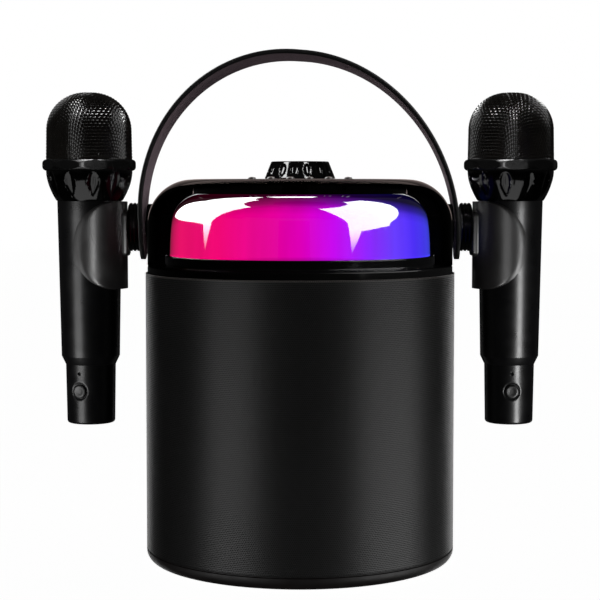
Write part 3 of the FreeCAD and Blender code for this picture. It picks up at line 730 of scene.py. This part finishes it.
def make_knob():
    bottom = low("volume_knob").z
    top = high("volume_knob").z
    radius = high("volume_knob").x
    crown = radius - 3.9
    profile = rounded([
        (0, top), (crown, top, 0.9), (crown + 0.35, top - 0.9, 0.5), (radius - 0.25, bottom + 1.0, 0.4),
        (radius, bottom + 0.5, 0.2), (radius, bottom, 0.2), (radius - 2.4, bottom, 0.2),
        (crown - 1.8, top - 2.2, 0.4), (3.2, top - 2.2), (3.2, top - 3.1), (0, top - 3.1)], 8)
    profile = spaced(profile, 0.45)
    heart = (bottom + top) / 2 - 0.1

    def fluted(reach, height, angle):
        outside = reach > crown - 0.1 and bottom + 0.6 < height < top - 0.6
        if not outside:
            return reach
        phase = off_centre(angle, FLUTE_TURN, FLUTES)
        across = phase * 2 * pi * reach / FLUTES / 2.3
        up = (height - heart) / 3.7
        inside = 1 - across ** 2 - up ** 2
        return reach - 1.15 * sqrt(inside) if inside > 0 else reach

    lathe("knob", profile, "knob_black", "volume_knob", Matrix(), FLUTES * 22, fluted, ["volume_knob"], 28)


def make_keys():
    for name in KEYS:
        node = f"key_{name}"
        radius = half_width(node)
        depth = high(node).z - low(node).z
        profile = rounded([(0, 0), (radius, 0), (radius, depth - 0.2, 0.9), (0, depth, 0)], 6)
        seat = middle(node)
        seat.z = low(node).z
        lathe(f"cap_{name}", profile, "key_black", node, Matrix.Translation(seat), 40,
              stands_for=[node])


# -------------------------------------------------------- strap and clips

STRAP_WALL = 2.8
STRAP_WIDTH = 30.0
STRAP_TAB = 19.4
STRAP_SKEW = 2.0
STRAP_LEAN = radians(5.0)
STRAP_TWIST = radians(-2.7)
STRAP_RISE = 104.5


def strap_stations():
    """(across, up, half width, outward direction) along the strap's middle."""
    reach = high("handle_strap").x - STRAP_WALL / 2
    rise = STRAP_RISE - STRAP_WALL / 2
    half = STRAP_WIDTH / 2
    round_at = half - STRAP_TAB
    points = []
    for step in range(13):
        angle = radians(3 + 87 * step / 12)
        points.append((-reach, round_at - half * cos(angle), half * sin(angle)))
    steps = 84
    for step in range(steps + 1):
        turn = pi * step / steps
        pull = STRAP_SKEW * sin(2 * turn) * (2.1 if turn < pi / 2 else 1.0)
        points.append((-(reach + pull) * cos(turn), (rise + pull) * sin(turn), half))
    points += [(reach, up, wide) for _, up, wide in reversed(points[:13])]
    stations = []
    for index, (across, up, wide) in enumerate(points):
        before = points[max(index - 1, 0)]
        after = points[min(index + 1, len(points) - 1)]
        along = Vector((after[0] - before[0], 0, after[1] - before[1])).normalized()
        outward = Vector((-along.z, 0, along.x))
        stations.append((Vector((across, 0, up)), wide, outward, along))
    return stations


def make_strap():
    """One bent strap: black outside and on its edges, lined on the inside."""
    lean = Matrix.Translation((0, 0, PIVOT_HEIGHT)) @ Matrix.Rotation(-STRAP_LEAN, 4, "X")
    half_wall = STRAP_WALL / 2
    section = []
    for side in (1, -1):
        for step in range(7):
            angle = radians(-90 + 180 * step / 6)
            section.append((side, side * sin(angle) * half_wall, cos(angle) * half_wall))
    stations = strap_stations()
    vertices = []
    for index, (centre, wide, outward, along) in enumerate(stations):
        turn = index / (len(stations) - 1) * pi
        roll = Matrix.Rotation(STRAP_TWIST * sin(2 * turn), 3, along)
        across = roll @ Vector((0, 1, 0))
        lift = roll @ outward
        for side, up, edge in section:
            reach = side * max(wide - half_wall + edge, 0.05)
            vertices.append(lean @ (centre + across * reach + lift * up))
    count = len(section)
    faces = capped_skin(len(stations), count)
    strap = piece("carry_strap", vertices, faces, "strap_leather", "handle", ["handle_strap"], 60)
    strap.data.materials.append(LOOKS["strap_lining"])
    for index in range(len(stations) - 1):
        strap.data.polygons[index * count + count - 1].material_index = 1


def along_x(side):
    """Turns +Z to point away from the drum on that side."""
    return Matrix.Rotation(side * pi / 2, 4, "Y")


def make_hub(name, side):
    node = f"holder_hub_{name}"
    inner = low(node).x if side > 0 else high(node).x
    radius = (high(node).z - low(node).z) / 2
    depth = high(node).x - low(node).x
    grooves = []
    for start in (1.7, 3.9):
        grooves += [(radius, start, 0.2), (radius - 0.8, start + 0.2, 0.2), (radius - 0.8, start + 0.8, 0.2),
                    (radius, start + 1.0, 0.2)]
    profile = rounded([
        (4.05, 0), (radius - 0.9, 0, 0.3), (radius, 0.7, 0.4), *grooves, (radius, depth - 0.8, 0.4),
        (radius - 1.0, depth, 0.3), (0, depth), (0, depth - 1.2), (4.05, depth - 1.2)])
    place = Matrix.Translation((inner, 0, PIVOT_HEIGHT)) @ along_x(side)
    lathe(f"hub_{name}", profile, "gloss_black", f"holder_{name}", place, 96,
          stands_for=[node])


CLIP_WALL = 3.0
TRIM_RADIUS = 26.0
TRIM_REACH = 107.6


def make_clip(name, side):
    """A sleeve whose two arms end in a round lobe, and a pad for the hub."""
    node = f"mic_clip_{name}"
    bottom = low(node).z
    top = high(node).z
    trim_height = (bottom + top) / 2
    outer = high(node).y
    edge = 0.5
    rows = 44
    columns = 40
    vertices = []
    for row in range(rows + 1):
        drop = -cos(pi * row / rows)
        height = drop * (TRIM_RADIUS - 0.02)
        reach = TRIM_REACH + sqrt(TRIM_RADIUS ** 2 - height ** 2)
        ratio = max(-1.0, min(1.0, (MIC_REACH - reach) / outer))
        limit = acos(ratio)
        soft_end = min(row, rows - row)
        loop = []
        inset = edge if soft_end == 0 else 0.0
        for column in range(columns + 1):
            angle = limit * (2 * column / columns - 1)
            near_end = min(column, columns - column)
            radius = outer - (edge if near_end == 0 else 0.12 if near_end == 1 else 0) - inset
            loop.append((radius, angle))
        for column in range(columns + 1):
            angle = limit * (1 - 2 * column / columns)
            near_end = min(column, columns - column)
            radius = outer - CLIP_WALL + (edge if near_end == 0 else 0) + inset
            loop.append((radius, angle))
        for radius, angle in loop:
            vertices.append((side * (MIC_REACH - radius * cos(angle)), radius * sin(angle),
                             trim_height + height))
    count = 2 * (columns + 1)
    faces = skin(rows + 1, count)
    for start in (0, rows * count):
        for column in range(columns):
            faces.append((start + column, start + column + 1,
                          start + count - 2 - column, start + count - 1 - column))
    hub_face = low(node).x if side > 0 else -high(node).x
    pad_size = (4.6, 21.0, 27.0)
    pad_vertices, pad_faces = block_mesh((pad_size[2], pad_size[1], pad_size[0]), 3.0, 5)
    turned = Matrix.Translation((side * (hub_face + pad_size[0] / 2), 0, PIVOT_HEIGHT - 4)) @ along_x(side)
    start = len(vertices)
    vertices += moved(pad_vertices, turned)
    faces += [tuple(start + index for index in face) for face in pad_faces]
    piece(f"clip_{name}", vertices, faces, "clip_black", f"holder_{name}", [node], 40)


# -------------------------------------------------------------- microphone

WIRE_PITCH = 1.9
WIRE_RADIUS = 0.25
WEAVE = 0.3
BASKET_SQUARENESS = 4.0


class Basket:
    """The basket's outline as a path from the middle of its top down its side."""

    def __init__(self, node):
        self.top = high(node).z - 0.4
        self.foot = low(node).z
        self.radius = half_width(node) - 0.4
        self.round = 22.05
        self.flat = self.radius - 0.3 - self.round
        self.arc = self.round * pi / 2
        self.side = self.top - self.round - self.foot
        self.length = self.flat + self.arc + self.side

    def at(self, distance):
        """(radius, height, outward radial part, outward upward part)."""
        distance = np.asarray(distance)
        angle = np.clip((distance - self.flat) / self.round, 0, pi / 2)
        down = np.clip(distance - self.flat - self.arc, 0, None)
        radius = np.minimum(distance, self.flat) + self.round * np.sin(angle) + 0.3 * down / self.side
        height = self.top - self.round + self.round * np.cos(angle) - down
        return radius, height, np.sin(angle), np.cos(angle)


def woven_wires(basket, turn):
    """Two sets of wires, over and under each other, from a square woven sheet
    that is pressed into the basket: rows along its four sides, and a herringbone
    where two sides meet."""
    vertices = []
    faces = []
    lines = int(basket.length / WIRE_PITCH)
    corners = 5
    for family in (0, 1):
        for line in range(-lines, lines + 1):
            fixed = line * WIRE_PITCH
            span = (basket.length ** BASKET_SQUARENESS - abs(fixed) ** BASKET_SQUARENESS)
            limit = max(span, 0) ** (1 / BASKET_SQUARENESS)
            steps = max(int(limit / (WIRE_PITCH / 2)), 2)
            free = np.linspace(-limit, limit, 2 * steps + 1)
            u, v = (np.full_like(free, fixed), free) if family == 0 else (free, np.full_like(free, fixed))
            powers = np.abs(u) ** BASKET_SQUARENESS + np.abs(v) ** BASKET_SQUARENESS
            distance = powers ** (1 / BASKET_SQUARENESS)
            angle = np.arctan2(v, u) + turn
            radius, height, outward, upward = basket.at(distance)
            over = WEAVE * np.cos(pi * (free / WIRE_PITCH + line)) * (1 if family == 0 else -1)
            normal = np.stack([outward * np.cos(angle), outward * np.sin(angle), upward], axis=1)
            path = np.stack([radius * np.cos(angle), radius * np.sin(angle), height], axis=1)
            path = path + normal * over[:, None]
            along = np.gradient(path, axis=0)
            along /= np.linalg.norm(along, axis=1, keepdims=True)
            across = np.cross(along, normal)
            across /= np.linalg.norm(across, axis=1, keepdims=True)
            lift = np.cross(across, along)
            start = len(vertices)
            for corner in range(corners):
                spin = 2 * pi * corner / corners
                ring = path + WIRE_RADIUS * (across * cos(spin) + lift * sin(spin))
                vertices.extend(map(tuple, ring))
            count = len(free)
            for corner in range(corners):
                after = (corner + 1) % corners
                for step in range(count - 1):
                    faces.append((start + corner * count + step, start + corner * count + step + 1,
                                  start + after * count + step + 1, start + after * count + step))
            faces.append(tuple(start + corner * count for corner in reversed(range(corners))))
            faces.append(tuple(start + corner * count + count - 1 for corner in range(corners)))
    return vertices, faces


def mic_place(side):
    return Matrix.Translation((side * MIC_REACH, 0, 0))


RING_FACETS = 10
COLLAR_DIMPLES = 11
DIMPLE_TURN = {"left": radians(-20.5), "right": radians(-14)}
MIC_FACING = {"left": radians(-21.5), "right": 0.0}


def facing_angle(name):
    """The button's direction as an angle about Z from +X."""
    return -pi / 2 + MIC_FACING[name]


def make_mic_head(name, side):
    body = f"mic_{name}"
    basket = Basket(f"mic_grille_{name}")
    vertices, faces = woven_wires(basket, facing_angle(name) + pi / 4)
    piece(f"basket_{name}", moved(vertices, mic_place(side)), faces, "mic_wire", body,
          [f"mic_grille_{name}"], 70)

    node = f"mic_ring_{name}"
    bottom = low(node).z
    top = high(node).z
    radius = half_width(node)
    profile = rounded([(24.4, bottom), (radius, bottom, 2.6), (radius, top, 2.6), (25.2, top),
                       (24.4, top - 0.4)],
                      14)
    profile = spaced(profile, 0.5)

    def faceted(reach, height, angle):
        if reach < radius - 2.7:
            return reach
        phase = off_centre(angle, facing_angle(name), RING_FACETS)
        flat = (radius - 0.95) / cos(phase * 2 * pi / RING_FACETS)
        return min(reach, flat)

    lathe(f"ring_{name}", profile, "ring_black", body, mic_place(side), 240, faceted, [node], 30)

    node = f"mic_collar_{name}"
    foot = low(node).z
    edge = low(f"mic_ring_{name}").z
    wide = half_width(node)
    slim = half_width(f"mic_body_{name}") + 0.4
    bowl = []
    steps = 30
    for step in range(steps + 1):
        share = step / steps
        swell = sin(share * pi / 2) ** 0.9
        bowl.append((slim + (wide - slim) * swell, foot + (edge - foot) * share))
    profile = [(slim - 2.0, foot)] + bowl + [(wide - 2.0, edge), (wide - 3.0, edge - 2.0)]

    def dimpled(reach, height, angle):
        share = (height - foot) / (edge - foot)
        if reach < slim - 1 or not 0.08 < share < 0.95:
            return reach
        phase = off_centre(angle, DIMPLE_TURN[name] - pi / 2, COLLAR_DIMPLES)
        across = phase * 2 * pi * reach / COLLAR_DIMPLES
        half_across = 3.3 * min(1.0, max(0.05, (share - 0.10) / 0.42)) ** 0.55
        up = (share - 0.54) / 0.40
        inside = 1 - (across / half_across) ** 2 - abs(up) ** 2.4
        return reach - 1.5 * min(1.0, max(inside, 0.0)) ** 0.5 if inside > 0 else reach

    lathe(f"collar_{name}", profile, "gloss_black", body, mic_place(side), 300, dimpled, [node], 28)


LIGHT_RISE = 10.6       # from the middle of the button up to the status light


def make_mic_body(name, side):
    body = f"mic_{name}"
    node = f"mic_body_{name}"
    top = high(node).z
    shoulder = low(node).z
    bottom = low(f"mic_tail_{name}").z
    wide = half_width(node)
    tail = half_width(f"mic_tail_{name}")
    wall = 1.8
    end = wide - wall
    profile = rounded([(end, top), (wide, top, 0.3), (end, shoulder + 4.9, 0.9),
                       (tail + 0.15, shoulder, 0.4), (tail - wall, shoulder),
                       (end - wall, shoulder + 4.9)], 8)
    lathe(f"tube_{name}", spaced(profile, 6.0), "mic_black", body, mic_place(side),
          stands_for=[node])

    height = middle(f"mic_button_{name}").z
    facing = facing_angle(name)
    tail_end = tail - 0.6
    profile = rounded([(0, bottom), (4.2, bottom, 0.2), (4.6, bottom + 0.35, 0.2),
                       (tail_end - 2.6, bottom + 0.35, 0.3), (tail_end, bottom, 1.7), (tail, shoulder),
                       (tail - wall, shoulder), (tail_end - wall, bottom + 2.2, 0.4), (0, bottom + 2.2)], 8)
    profile = spaced(profile, 0.55)

    def recessed(reach, up, angle):
        """A shallow round dish about the button, and a pinhole for the light."""
        if reach < tail_end - 1:
            return reach
        across = ((angle - facing + pi) % (2 * pi) - pi) * reach
        button = hypot(across, up - height)
        light = hypot(across, up - height - LIGHT_RISE)
        if button < 5.4:
            reach -= 0.55 * min(1.0, (5.4 - button) / 0.8)
        if light < 0.75:
            reach -= 0.8 * min(1.0, (0.75 - light) / 0.3)
        return reach

    lathe(f"tail_{name}", profile, "mic_black", body, mic_place(side), 200, recessed,
          [f"mic_tail_{name}"], 40)

    def facing_out(reach, up):
        """A place on the tail, turned so that +Z points out of it."""
        seat = Vector((side * MIC_REACH + reach * cos(facing), reach * sin(facing), up))
        return Matrix.Translation(seat) @ Matrix.Rotation(facing, 4, "Z") @ Matrix.Rotation(pi / 2, 4, "Y")

    cap = rounded([(0, 0), (4.2, 0), (4.2, 3.6, 0.7), (3.0, 3.95, 0.6), (1.4, 3.7, 0.6), (0, 3.65)])
    button = f"mic_button_{name}"
    lathe(f"power_button_{name}", cap, "button_black", button, facing_out(tail_end - 3.0, height), 48,
          stands_for=[button])
    lens = rounded([(0, 0), (0.55, 0), (0.55, 0.5, 0.2), (0, 0.62)], 4)
    lathe(f"status_light_{name}", lens, "status_light", body,
          facing_out(tail_end - 0.55, height + LIGHT_RISE), 24)


make_drum_mesh()
make_port_bezel()
make_base()
make_lamp()
make_cover()
for boss_name, boss_side in SIDES.items():
    make_boss(boss_name, boss_side)
make_deck()
make_panel_rim()
make_knob()
make_keys()
make_strap()
for mic_name, mic_side in SIDES.items():
    make_hub(mic_name, mic_side)
    make_clip(mic_name, mic_side)
    make_mic_head(mic_name, mic_side)
    make_mic_body(mic_name, mic_side)


# ----------------------------------------------------- floor, light, camera

def make_stage():
    """A pale floor, bright enough in itself to run into the background."""
    mesh = bpy.data.meshes.new("floor")
    half = 6.0
    corners = [(-half, -half, 0), (half, -half, 0), (half, half, 0), (-half, half, 0)]
    mesh.from_pydata(corners, [], [(0, 1, 2, 3)])
    floor = placed("floor", mesh)
    look = Look("floor", Roughness=0.8, Specular_IOR_Level=0.0)
    look.set("Base Color", look.ramp(look.noise(3.0), (0.3, 0.78), (0.7, 0.82)))
    glow = look.node("ShaderNodeEmission", {"Color": (1, 1, 1, 1), "Strength": 0.985})
    both = look.node("ShaderNodeAddShader", {0: look.shader.outputs[0], 1: glow.outputs[0]})
    seen = look.node("ShaderNodeLightPath").outputs["Is Camera Ray"]
    choose = look.node("ShaderNodeMixShader", {0: seen, 1: look.shader.outputs[0], 2: both.outputs[0]})
    look.show(choose)
    mesh.materials.append(look.material)
    floor.visible_glossy = False
    floor.visible_shadow = False


LIGHT_CENTRE = Vector((0, 0, 0.2))


def toward(azimuth, elevation, distance):
    """A point seen from the lamp at this azimuth, 0 in front and 90 to the
    right, and this elevation."""
    turn = radians(azimuth)
    rise = radians(elevation)
    flat = cos(rise) * distance
    return LIGHT_CENTRE + Vector((sin(turn) * flat, -cos(turn) * flat, sin(rise) * distance))


def light_panel(name, outline, strength, distance, only, tint=(1, 1, 1), fade=0):
    """A glowing sheet with this outline of (azimuth, elevation) corners, curved
    about the lamp and hidden from the camera. It lights the pieces whose names
    start with one of those in only, and dims towards its foot below the
    elevation given by fade."""
    flat = bmesh.new()
    flat.faces.new([flat.verts.new((azimuth, elevation, 0)) for azimuth, elevation in outline])
    bmesh.ops.triangulate(flat, faces=flat.faces)
    bmesh.ops.subdivide_edges(flat, edges=flat.edges, cuts=6, use_grid_fill=True)
    for vertex in flat.verts:
        vertex.co = toward(vertex.co.x, vertex.co.y, distance)
    mesh = bpy.data.meshes.new(name)
    flat.to_mesh(mesh)
    flat.free()
    panel = placed(name, mesh)
    look = Look(name)
    if fade:
        height = look.node("ShaderNodeSeparateXYZ", {"Vector": look.place}).outputs["Z"]
        share = look.math("DIVIDE", look.math("SUBTRACT", height, LIGHT_CENTRE.z),
                          sin(radians(fade)) * distance)
        strength = look.times(look.ramp(share, (0.0, 0.06), (1.0, 1.0)), strength)
    glow = look.node("ShaderNodeEmission", {"Color": (*tint, 1), "Strength": strength})
    look.show(glow)
    look.tree.nodes.remove(look.shader)
    mesh.materials.append(look.material)
    panel.visible_camera = False
    panel.visible_shadow = False
    group = bpy.data.collections.new(f"lit_by_{name}")
    for thing in bpy.context.scene.objects:
        if any(thing.name.startswith(start) for start in only):
            group.objects.link(thing)
    panel.light_linking.receiver_collection = group


def make_world():
    world = bpy.data.worlds.new("studio")
    world.use_nodes = True
    tree = world.node_tree
    seen = tree.nodes["Background"]
    dim = tree.nodes.new("ShaderNodeBackground")
    for background, strength in ((seen, 1.0), (dim, 0.02)):
        background.inputs["Color"].default_value = (1, 1, 1, 1)
        background.inputs["Strength"].default_value = strength
    path = tree.nodes.new("ShaderNodeLightPath")
    choose = tree.nodes.new("ShaderNodeMixShader")
    tree.links.new(path.outputs["Is Camera Ray"], choose.inputs[0])
    tree.links.new(dim.outputs[0], choose.inputs[1])
    tree.links.new(seen.outputs[0], choose.inputs[2])
    tree.links.new(choose.outputs[0], tree.nodes["World Output"].inputs["Surface"])
    bpy.context.scene.world = world


DRUM_PIECES = ["drum_mesh", "base_shell"]
MIC_PARTS = ["tube_", "tail_", "clip_", "power_button_"]
TOP_PIECES = ["dome_cover", "panel_rim", "control_panel", "cap_"]
LEFT_SOFTBOX = [(-170, 45), (-150, 62), (-80, 62), (-85, 8), (-90, 0), (-95, 8), (-155, 5), (-150, 35)]
RIGHT_SOFTBOX = [(30, 65), (40, 25), (45, 0), (55, 8), (85, 8), (100, 45), (145, 55), (130, 67)]
WARM = (1.0, 0.8, 0.75)
CARDS = [       # azimuths, elevations, strength, distance, the pieces that are lit, tint
    ("back_strip", (176, 188), (42, 50), 7.0, 4.0, ["lamp_shell"]),
    ("drum_light_left", (-68, -32), (-35, -2.5), 2.5, 2.0, DRUM_PIECES),
    ("drum_light_right", (43, 94), (-35, -2.5), 2.55, 2.0, DRUM_PIECES),
    ("drum_light_back", (140, 215), (-35, -3), 1.6, 2.0, DRUM_PIECES + ["port_"]),
    ("strip_left", (-50, -39), (-35, -2.5), 26.0, 2.0, [part + "left" for part in MIC_PARTS]),
    ("strip_right", (28, 44), (-35, -2.5), 22.0, 2.0, [part + "right" for part in MIC_PARTS]),
    ("front_strip_left", (8, 13), (-35, -2.5), 60.0, 1.2, ["clip_left"]),
    ("front_strip_right", (-13, -8), (-35, -2.5), 40.0, 1.2, ["clip_right"]),
    ("front_card", (-18, 8), (-20, 20), 5.0, 1.1, ["ring_"]),
    ("basket_card_left", (-68, -50), (-2, 28), 7.0, 4.2, ["basket_"]),
    ("basket_card_right", (20, 34), (-2, 26), 9.0, 4.2, ["basket_"]),
    ("basket_card_front", (-12, -4), (2, 28), 12.0, 4.2, ["basket_"]),
    ("overhead", (-180, 180), (76, 90), 26.0, 4.0, ["basket_", "ring_"]),
    ("high_card", (-74, 28), (30, 75), 3.0, 5.0, ["basket_", "ring_"]),
    ("glint_left", (-75, -53), (25, 58), 18.0, 3.8, ["knob"]),
    ("glint_right", (19, 33), (25, 58), 18.0, 3.8, ["knob"]),
    ("low_card", (-60, 35), (-65, -25), 1.2, 2.0, ["collar_", "ring_"]),
    ("strap_card", (-115, 115), (-75, -5), 3.5, 2.4, ["carry_strap"]),
    ("back_low", (163, 197), (0, 21), 0.6, 5.0, TOP_PIECES, WARM),
    ("back_high", (163, 197), (21, 50), 3.0, 5.0, TOP_PIECES, WARM),
]


def make_lights():
    """Two big softboxes and a narrow one behind for the glossy pieces, upright
    strips for the matt ones, and small cards for the rest."""
    light_panel("left_softbox", LEFT_SOFTBOX, 7.0, 4.0, ["lamp_shell", "cap_", "carry_strap"], fade=9)
    light_panel("right_softbox", RIGHT_SOFTBOX, 7.0, 4.0, ["lamp_shell", "cap_", "deck_ring", "carry_strap"],
                fade=9)
    for name, (left, right), (foot, head), *rest in CARDS:
        light_panel(name, [(left, foot), (right, foot), (right, head), (left, head)], *rest)


def keep_out_of_reflections():
    """The mirror-like lamp shows the softboxes and not the pieces beside it."""
    beside = MIC_PARTS + ["cover_boss_", "basket_", "ring_", "collar_", "hub_", "carry_strap", "mic_",
                          "pivot_frame", "pivot_washers", "panel_rim", "control_panel", "key_board",
                          "encoder", "knob", "lamp_core"]
    for thing in bpy.context.scene.objects:
        if any(thing.name.startswith(start) for start in beside):
            thing.visible_glossy = False


def make_camera():
    camera = bpy.data.cameras.new("camera")
    camera.lens = 100.0
    camera.sensor_width = 36.0
    stand = placed("camera", camera)
    stand.location = (0, -1.0, 0.2237)
    stand.rotation_euler = (radians(90 - 3.844), 0, 0)
    bpy.context.scene.camera = stand


make_stage()
make_world()
make_lights()
keep_out_of_reflections()
make_camera()
bpy.context.scene.view_settings.view_transform = "Standard"
